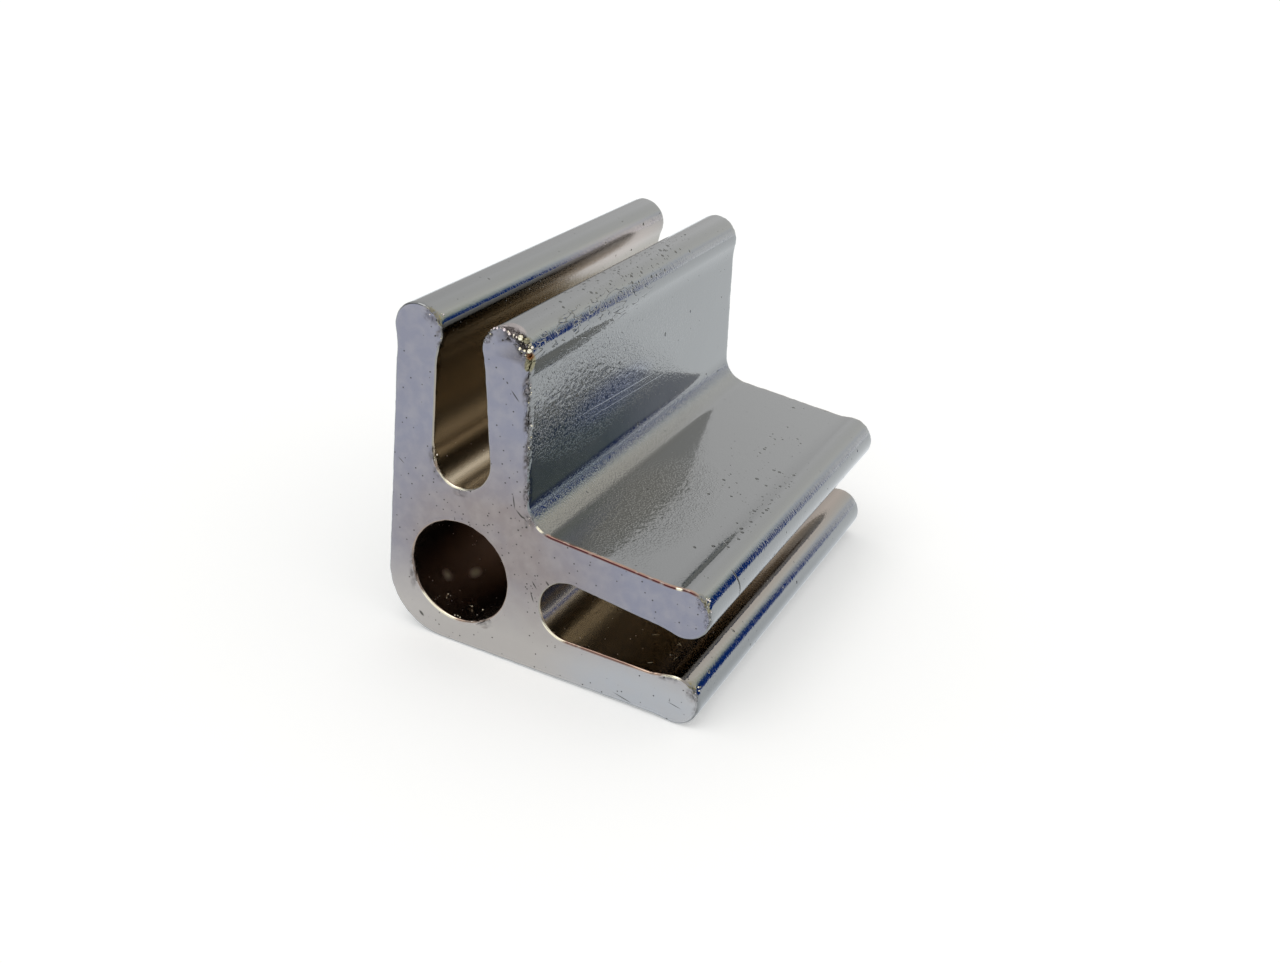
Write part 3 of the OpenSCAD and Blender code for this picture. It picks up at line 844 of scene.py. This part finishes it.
def wear(mesh, sizes):
    """Breaks away the front edge of the upright inner leg and roughens the worn places, always into the metal apart
    from the flap, and keeps how broken each point is as the attribute torn. Lengths are in mm."""
    count = len(mesh.vertices)
    place, way = np.empty((2, count * 3), np.float32)
    mesh.vertices.foreach_get("co", place)
    mesh.vertices.foreach_get("normal", way)
    place = place.reshape(-1, 3).astype(float) / MM
    way = way.reshape(-1, 3).astype(float)
    half = sizes.body_length / 2 / MM

    def rough(i, size, turn):
        """Noise from -1 to 1 with cells of a size in mm."""
        return noise.noise(Vector(place[i]) / size + Vector((turn, 2 * turn, 3 * turn)))

    gap = place[:, [0, 2]] - np.array(BEAD_AT)
    out = np.hypot(gap[:, 0], gap[:, 1])
    angle = np.degrees(np.arctan2(gap[:, 1], gap[:, 0]))
    reach = np.interp(angle, [a for a, _ in BREAK], [w for _, w in BREAK], 0, 0)
    bead_r = sizes.bead / 2 / MM
    from_rim = np.maximum(0.0, bead_r - out)
    flap_start, flap_end, flap_length, flap_rise = FLAP
    near = (place[:, 1] + half < flap_length) & (out > 1) & (out < bead_r + 0.1)
    near &= (angle > BREAK[0][0]) & (angle < BREAK[-1][0])
    moved = place.copy()
    torn = np.zeros(count)
    for i in np.flatnonzero(near):
        width = reach[i] * (1 + 0.22 * rough(i, 0.5, 1.3))
        depth_in = place[i, 1] + half
        if depth_in < FACE_DEPTH and from_rim[i] < width:
            share = 1 - from_rim[i] / width
            deep = BREAK_DEPTH * min(1.0, 3 * share) * min(1.0, 0.25 + reach[i])
            crumbs = 0.16 * rough(i, 0.2, 7.7) * min(1.0, 4 * share)
            moved[i, 1] += max(0.04, deep * (1 + 0.35 * rough(i, 0.45, 4.1)) + crumbs)
            torn[i] = min(1.0, 4 * share)
        elif depth_in < SIDE_DEPTH:
            fade = 1 - depth_in / SIDE_DEPTH
            broken = min(1.0, reach[i])
            moved[i] -= way[i] * max(0.0, fade * (0.08 + 0.2 * rough(i, 0.35, 2.9)) * broken)
            moved[i, 1] += max(0.0, 0.62 * fade * broken * (0.75 + 0.5 * rough(i, 0.5, 5.2)))
            torn[i] = broken * min(1.0, max(0.0, 4 * fade - 2.7))
        if flap_start < angle[i] < flap_end and from_rim[i] < 0.3 and depth_in < flap_length:
            middle = 1 - abs(2 * (angle[i] - flap_start) / (flap_end - flap_start) - 1)
            rise = flap_rise * min(1.0, 2.5 * middle) * (1 - depth_in / flap_length)
            moved[i, [0, 2]] += gap[i] / out[i] * max(0.0, rise * (0.7 + 0.8 * rough(i, 0.5, 9.1)))
    for level, rows in WORN.items():
        for (x, z), size, depth, bare in rows:
            away = np.linalg.norm((place - np.array((x, level, z))) / np.array(size), axis=1)
            for i in np.flatnonzero(away < 1):
                nibble = max(0.0, 0.45 + rough(i, 0.3, x)) * depth * (1 - away[i]) ** 0.5
                moved[i] -= way[i] * nibble
                if abs(place[i, 1]) > half - EDGE_DEPTH:
                    moved[i, 1] -= np.sign(place[i, 1]) * nibble
                flecked = min(1.0, max(0.0, 0.6 + 1.6 * rough(i, 0.4, 3.3)))
                torn[i] = max(torn[i], bare * min(1.0, 2.5 * (1 - away[i])) * flecked)
    moved = np.clip(moved, *(np.array(corner) / MM for corner in NODE_BOX))
    mesh.vertices.foreach_set("co", (moved * MM).astype(np.float32).ravel())
    mesh.attributes.new("torn", "FLOAT", "POINT").data.foreach_set("value", torn.astype(np.float32))
    mesh.update()


class CONNECTOR_OT_body(bpy.types.Operator):
    """Build the plated bar with its channels, bore and worn cut ends"""

    bl_idname = "connector.body"
    bl_label = "Connector body"

    def execute(self, context):
        scene = context.scene
        sizes, finish = scene.connector_sizes, scene.connector_finish
        loops = section_loops(sizes)
        points = [item for loop in loops for item in loop]
        edges, first = [], 0
        for loop in loops:
            edges += [(first + i, first + (i + 1) % len(loop)) for i in range(len(loop))]
            first += len(loop)
        section = point_object(
            "section_points", [(p.x, p.y, 0) for p, _, _ in points], edges,
            open_way=[(w.x, w.y, 0.0) for _, w, _ in points], recess=[r for _, _, r in points],
        )
        rows = station_rows(sizes)
        stations = point_object("station_points", rows)
        tree = extrusion_tree(len(rows))
        body = run_tree(tree, "connector_body", {
            "Section": section, "Stations": stations, "Station count": len(rows),
            "Outline points": len(loops[0]), "Bore points": len(loops[1]),
            "Length": sizes.body_length, "Edge radius": sizes.edge_radius, "Edge wear": sizes.edge_wear,
            "Seed": sizes.seed,
            "Side finish": chrome_material(finish), "End finish": end_material(finish),
        })
        for helper in (section, stations):
            bpy.data.objects.remove(helper)
        wear(body.data, sizes)
        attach(body, BODY)
        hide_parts(NODE)
        return {"FINISHED"}


def nodule_tree():
    """Sets a lump of plate on each point. A lump is a coarse ball whose skin is pushed in and out by noise."""
    tree, sockets = new_geometry_tree(
        "plating_nodules", [("Points", "Object"), ("Roughness", "Float"), ("Seed", "Int"), ("Finish", "Material")]
    )
    points = add(tree, "GeometryNodeObjectInfo", {"Object": sockets["Points"]})["Geometry"]
    cloud = add(tree, "GeometryNodeMeshToPoints", {"Mesh": points})[0]
    size, shade = (add(tree, "GeometryNodeInputNamedAttribute", {"Name": name})[0] for name in ("size", "shade"))
    turn = add(tree, "FunctionNodeRandomValue", {
        0: (0.0, 0.0, 0.0), 1: (6.283, 6.283, 6.283), "Seed": sockets["Seed"]}, data_type="FLOAT_VECTOR")[0]
    ball = add(tree, "GeometryNodeMeshIcoSphere", {"Radius": 1.0, "Subdivisions": 3})[0]
    lumps = add(tree, "GeometryNodeInstanceOnPoints", {
        "Points": cloud, "Instance": ball, "Rotation": turn, "Scale": size})[0]
    lumps = add(tree, "GeometryNodeStoreNamedAttribute", {
        "Geometry": lumps, "Name": "shade", "Value": shade}, domain="INSTANCE")[0]
    lumps = add(tree, "GeometryNodeRealizeInstances", {0: lumps})[0]
    place = add(tree, "GeometryNodeInputPosition")[0]
    bumps = add(
        tree, "ShaderNodeTexNoise", {"Vector": place, "W": sockets["Seed"], "Scale": NODULE_CELLS, "Detail": 2.0},
        noise_dimensions="4D",
    )[0]
    bumps = add(tree, "ShaderNodeMath", {0: bumps, 1: 0.5}, operation="SUBTRACT")[0]
    bumps = total(tree, [bumps, sockets["Roughness"]], "MULTIPLY")
    out = add(tree, "GeometryNodeInputNormal")[0]
    out = add(tree, "ShaderNodeVectorMath", {0: out, "Scale": bumps}, operation="SCALE")[0]
    lumps = add(tree, "GeometryNodeSetPosition", {"Geometry": lumps, "Offset": out})[0]
    lumps = add(tree, "GeometryNodeSetShadeSmooth", {0: lumps})[0]
    lumps = add(tree, "GeometryNodeSetMaterial", {"Geometry": lumps, "Material": sockets["Finish"]})[0]
    add(tree, "NodeGroupOutput", {0: lumps})
    return tree


# Nodules along the broken edge: x, y, z and radius, in mm, and shade from 0, pale, through 0.5, cream, to 1, olive
NODULES = (
    (2.55, -28.45, 31.10, 0.15, 0.1), (2.85, -28.40, 31.35, 0.21, 0.0), (3.25, -28.42, 31.55, 0.20, 0.0),
    (2.45, -28.50, 30.75, 0.13, 0.7), (3.65, -28.45, 31.62, 0.14, 0.2), (4.10, -28.45, 31.60, 0.21, 0.0),
    (4.55, -28.35, 31.45, 0.14, 0.4), (4.75, -28.45, 31.30, 0.20, 0.1), (5.25, -28.30, 31.25, 0.15, 0.3),
    (5.55, -28.25, 31.05, 0.14, 0.2), (6.10, -28.40, 31.15, 0.36, 0.5), (6.25, -28.10, 30.75, 0.16, 0.9),
    (6.80, -28.20, 30.95, 0.38, 1.0), (7.20, -28.15, 30.60, 0.18, 0.8), (5.60, -28.05, 30.55, 0.16, 0.2),
    (5.95, -27.95, 30.30, 0.14, 0.3), (6.10, -28.25, 29.85, 0.26, 0.45), (6.40, -28.35, 29.60, 0.14, 0.9),
    (6.68, -28.30, 29.78, 0.21, 0.5), (7.00, -28.30, 29.62, 0.14, 0.9), (7.28, -28.32, 29.92, 0.29, 0.45),
    (7.45, -28.10, 30.30, 0.17, 0.3), (6.60, -27.95, 30.40, 0.15, 0.2), (7.05, -28.00, 30.25, 0.16, 0.6),
    (5.10, -28.15, 30.95, 0.12, 0.4), (6.90, -28.45, 29.40, 0.12, 0.8), (5.75, -28.35, 30.15, 0.10, 0.2),
)
# How far the bumps of a nodule reach, as a share of its radius
BUMPY = 1.25
# Stray nodules: middle and reach of the place that they are scattered over, in mm, and how many
STRAYS = (
    ((1.4, -28.5, -6.3), (2.0, 0.1, 0.12), 6),
    ((-3.4, -26.8, -5.5), (0.8, 1.0, 0.1), 4),
    ((1.2, -26.4, -6.35), (1.4, 1.0, 0.1), 4),
    ((-4.05, -28.4, 14.1), (0.12, 0.2, 0.6), 5),
    ((-0.4, -28.5, 10.7), (0.8, 0.1, 0.1), 4),
    ((31.4, -28.4, 7.2), (0.45, 0.2, 0.8), 8),
    ((31.85, -28.45, 5.4), (0.1, 0.15, 0.8), 4),
    ((31.4, -28.4, -4.8), (0.5, 0.2, 0.7), 8),
    ((8.75, -28.4, 9.5), (0.35, 0.2, 0.6), 6),
    ((7.75, -28.3, 25.4), (0.1, 0.2, 1.6), 6),
    ((8.1, -28.4, 20.5), (0.1, 0.15, 2.4), 5),
    ((-4.4, -28.5, 31.3), (1.0, 0.15, 0.3), 6),
    ((-3.75, -28.4, 29.0), (0.12, 0.2, 0.8), 4),
)


class CONNECTOR_OT_nodules(bpy.types.Operator):
    """Build the lumps of plate that grew on the broken and worn edges"""

    bl_idname = "connector.nodules"
    bl_label = "Plating nodules"

    def execute(self, context):
        scene = context.scene
        chance = random.Random(scene.connector_sizes.seed)
        lumps = list(NODULES)
        for middle, reach, count in STRAYS:
            for _ in range(count):
                spot_at = [m + r * chance.uniform(-1, 1) for m, r in zip(middle, reach)]
                lumps.append((*spot_at, chance.uniform(0.05, 0.12), chance.uniform(0, 1)))
        low, high = NODE_BOX[0] / MM, NODE_BOX[1] / MM
        kept = []
        for *middle, radius, shade in lumps:
            room = radius * BUMPY
            kept.append(([min(max(v, a + room), b - room) for v, a, b in zip(middle, low, high)], radius, shade))
        points = point_object(
            "nodule_points", [tuple(v * MM for v in middle) for middle, _, _ in kept],
            size=[radius * MM for _, radius, _ in kept], shade=[shade for _, _, shade in kept],
        )
        nodules = run_tree(nodule_tree(), "plating_nodules", {
            "Points": points, "Roughness": 0.1 * MM, "Seed": scene.connector_sizes.seed,
            "Finish": nodule_material(scene.connector_finish),
        })
        bpy.data.objects.remove(points)
        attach(nodules, BODY)
        return {"FINISHED"}


# Glow of the table for all that shows it, and what the metal sees besides
TABLE_GLOW, TABLE_SHEEN = 0.26, 0.22
# Direction of the lamp as seen from the piece, and its spread in degrees
LAMP_WAY, LAMP_SPREAD = (-0.25, -0.4, 0.9), 40
# Distance of the cards and what the camera sees, both in metres
CARD_DISTANCE = 2.0
CLIP = (0.005, 20)


class CONNECTOR_OT_studio(bpy.types.Operator):
    """Set up the camera, the pale floor, the room, the lamp and the cards"""

    bl_idname = "connector.studio"
    bl_label = "Studio"

    def execute(self, context):
        scene = context.scene
        studio = scene.connector_studio
        self.camera(scene, studio)
        self.floor(studio)
        self.room(scene, studio)
        self.lamp(studio)
        self.cards()
        scene.view_settings.view_transform = "Standard"
        return {"FINISHED"}

    def camera(self, scene, studio):
        data = bpy.data.cameras.new("studio_camera")
        data.sensor_fit = "HORIZONTAL"
        data.sensor_width = 36
        data.lens = studio.focal_length
        data.clip_start, data.clip_end = CLIP
        scene.camera = new_object("studio_camera", data)
        way = Vector(studio.camera_way).normalized()
        right = Vector(studio.camera_right).normalized()
        up = right.cross(way).normalized()
        right = way.cross(up).normalized()
        turn = Matrix((right, up, -way)).transposed().to_4x4()
        scene.camera.matrix_world = Matrix.Translation(studio.camera_place) @ turn

    def floor(self, studio):
        """A white table. It shows its own white to the camera and to the metal, and keeps the shadow."""
        count, radius, level = 96, studio.floor_radius, NODE_BOX[0].z
        turns = [2 * math.pi * i / count for i in range(count)]
        ring = [(radius * math.cos(turn), radius * math.sin(turn), level) for turn in turns]
        floor = mesh_object("studio_floor", ring, faces=[list(range(count))])
        made, tree, shader = new_material("white_table")
        glossy = add(tree, "ShaderNodeLightPath")["Is Glossy Ray"]
        cool = add(tree, "ShaderNodeMix", {
            0: glossy, 6: linear("#FFFFFF"), 7: linear("#E9F4FF")}, data_type="RGBA")[2]
        feed(tree, shader, {
            "Base Color": studio.floor, "Roughness": 0.9, "Specular IOR Level": 0.0, "Emission Color": cool,
            "Emission Strength": total(tree, [(self.seen(tree), TABLE_GLOW), (glossy, TABLE_SHEEN)]),
        })
        floor.data.materials.append(made)

    def seen(self, tree):
        """1 for a camera, glossy or transmission ray."""
        path = add(tree, "ShaderNodeLightPath")
        return total(tree, [path[f"Is {ray} Ray"] for ray in ("Camera", "Glossy", "Transmission")], "MAXIMUM")

    def room(self, scene, studio):
        scene.world = bpy.data.worlds.new("white_room")
        scene.world.use_nodes = True
        tree = scene.world.node_tree
        strength = add(tree, "ShaderNodeMapRange", {0: self.seen(tree), 3: studio.ambient, 4: 1.0})[0]
        feed(tree, tree.nodes["Background"], {"Color": (1, 1, 1, 1), "Strength": strength})

    def lamp(self, studio):
        data = bpy.data.lights.new("key_lamp", "SUN")
        data.angle = math.radians(LAMP_SPREAD)
        data.energy = studio.key_light
        lamp = new_object("key_lamp", data)
        lamp.location = LAMP_WAY
        lamp.rotation_mode = "QUATERNION"
        lamp.rotation_quaternion = lamp.location.to_track_quat("Z", "Y")

    def cards(self):
        """Curved cards far from the piece that only the metal sees. Angles are in degrees."""
        # The wall ahead brightens towards the right, up to the soft upright edge of a blue-grey screen, which has a
        # row of colours for each elevation
        edge = (26, 29, 30.7, 31.8, 36.5)
        screen = (
            (0, "#EFF2F6", "#F3F6FA", "#E8EBF1", "#294989", "#1B3F85"),
            (5.5, "#E6E7EA", "#DBDCDF", "#C5C6CB", "#11387F", "#11337C"),
            (11, "#E1E3E5", "#D2D4D6", "#B0B2B8", "#113375", "#113375"),
            (13, "#D9DBDE", "#C5C6CB", "#ACB0B7", "#29437D", "#113877"),
            (15.5, "#CDD1DA", "#B2BACB", "#A5B0C0", "#667897", "#334C7F"),
            (18.5, "#D5D9E0", "#BCC3CF", "#A5B0B6", "#95A4A5", "#7F908D"),
            (21.5, "#D9DCDE", "#C9D0D0", "#C2C8C3", "#BDC2B6", "#BABDB0"),
            (25, "#E4E6E1", "#DBDDD5", "#D1D0C4", "#CDCDBF", "#CDCDBF"),
            (40, "#E0DED5", "#DAD7CB", "#D4D0C3", "#D4D0C3", "#D4D0C3"),
            (55, *["#D5D5D5"] * 5),
        )
        rows = []
        for elevation, *shades in screen:
            right = "#CDCDCD" if elevation == 55 else shades[-1]
            rows.append((
                elevation, (-12, "#D2D2D2"), (8, "#D4D4D2"), (18, "#D9D9D6"), *zip(edge, shades), (62, right),
                (78, "#C5C5C5"),
            ))
        self.card("blue_card", rows, strength=1.8)
        # Pale grey on the left
        self.card("grey_card", [
            (elevation, (-70, "#E7E7E7"), (-60, shade), (-31, shade), (-20, near), (-12, "#F7F7F7"))
            for elevation, shade, near in (
                (0, "#BFBFBF", "#CFCFCF"), (9, "#C1C1C1", "#D1D1D1"), (14, "#CFCFCF", "#DDDDDD"),
                (20, "#D6D6D6", "#E9E9E9"), (25, "#DEDEDE", "#EAEAEA"), (40, "#E0E0E0", "#EFEFEF"),
                (55, "#E7E7E7", "#EFEFEF"),
            )
        ], strength=1.25)
        # Darker walls behind the camera and beside it, which give the chrome its dark bands from the other sides
        white = "#FFFFFF"
        wall = ((3, white), (7, "#A9ABB0"), (15, "#8E9298"), (24, "#C9CCD0"), (32, white))
        for name, (start, left, right, end) in (
            ("back_card", (-165, -150, -95, -80)), ("side_card", (95, 108, 150, 165)),
        ):
            self.card(name, [(e, (start, white), (left, shade), (right, shade), (end, white)) for e, shade in wall])

    def card(self, name, rows, strength=1.0):
        """A card from rows of elevation and then pairs of azimuth and colour. Azimuth 0 is along the bore."""
        points, colours = [], []
        for elevation, *columns in rows:
            for azimuth, shade in columns:
                a, e = math.radians(azimuth), math.radians(elevation)
                way = (math.sin(a) * math.cos(e), math.cos(a) * math.cos(e), math.sin(e))
                points.append([v * CARD_DISTANCE for v in way])
                colours.append(linear(shade))
        wide = len(rows[0]) - 1
        corners = [i * wide + k for i in range(len(rows) - 1) for k in range(wide - 1)]
        card = mesh_object(name, points, faces=[(k, k + 1, k + wide + 1, k + wide) for k in corners])
        layer = card.data.color_attributes.new("shade", "FLOAT_COLOR", "POINT")
        layer.data.foreach_set("color", np.array(colours, np.float32).ravel())
        made, tree, shader = new_material(name)
        tree.nodes.remove(shader)
        colour = add(tree, "ShaderNodeAttribute", attribute_name="shade")["Color"]
        glow = add(tree, "ShaderNodeEmission", {"Color": colour, "Strength": strength})[0]
        feed(tree, tree.nodes["Material Output"], {"Surface": glow})
        card.data.materials.append(made)
        for ray in ("camera", "diffuse", "shadow", "transmission", "volume_scatter"):
            setattr(card, f"visible_{ray}", False)


class CONNECTOR_PT_panel(bpy.types.Panel):
    bl_label = "Glass corner connector"
    bl_idname = "CONNECTOR_PT_panel"
    bl_space_type = "VIEW_3D"
    bl_region_type = "UI"
    bl_category = "Connector"

    def draw(self, context):
        for operator in OPERATORS:
            self.layout.operator(operator.bl_idname)
        for group in (context.scene.connector_sizes, context.scene.connector_finish, context.scene.connector_studio):
            box = self.layout.box()
            for name in group.__annotations__:
                box.prop(group, name)


GROUPS = {
    "connector_sizes": ConnectorSizes,
    "connector_finish": ConnectorFinish,
    "connector_studio": StudioSettings,
}
OPERATORS = (CONNECTOR_OT_body, CONNECTOR_OT_nodules, CONNECTOR_OT_studio)


def register():
    for item in (*GROUPS.values(), *OPERATORS, CONNECTOR_PT_panel):
        bpy.utils.register_class(item)
    for name, group in GROUPS.items():
        setattr(bpy.types.Scene, name, bpy.props.PointerProperty(type=group))


def unregister():
    for name in GROUPS:
        delattr(bpy.types.Scene, name)
    for item in (CONNECTOR_PT_panel, *reversed(OPERATORS), *GROUPS.values()):
        bpy.utils.unregister_class(item)


def main():
    register()
    bpy.ops.connector.body()
    bpy.ops.connector.nodules()
    bpy.ops.connector.studio()


if __name__ == "__main__":
    main()
